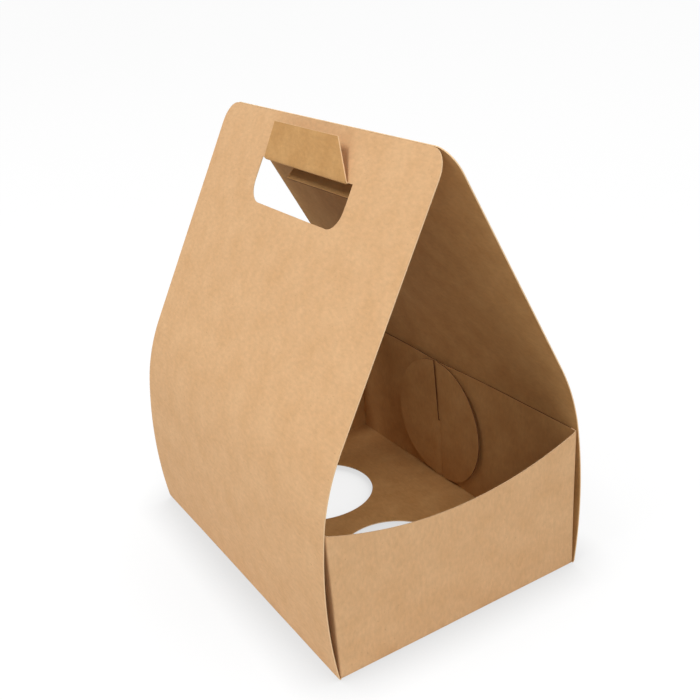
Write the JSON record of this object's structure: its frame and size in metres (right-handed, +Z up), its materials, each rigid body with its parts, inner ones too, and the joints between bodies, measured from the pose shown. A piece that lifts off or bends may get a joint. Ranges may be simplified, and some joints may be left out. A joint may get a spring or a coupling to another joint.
{
  "type": "cup carrier",
  "caption": "Folded kraft board cup carrier: a floor with two round cup holes, a low tray, and tall side panels that meet in a ridge, each with a hand hole and its flap.",
  "frame": {"origin": "middle of the floor's underside", "axes": "+Z up to the ridge, +Y along the ridge and the row of cup holes, -X towards the panel that has the flap turned up outside"},
  "size_m": [0.1576, 0.206, 0.238],
  "materials": {
    "kraft": "matt uncoated kraft board"
  },
  "bodies": {
    "root": {"carrier": "kraft"}
  },
  "joints": []
}
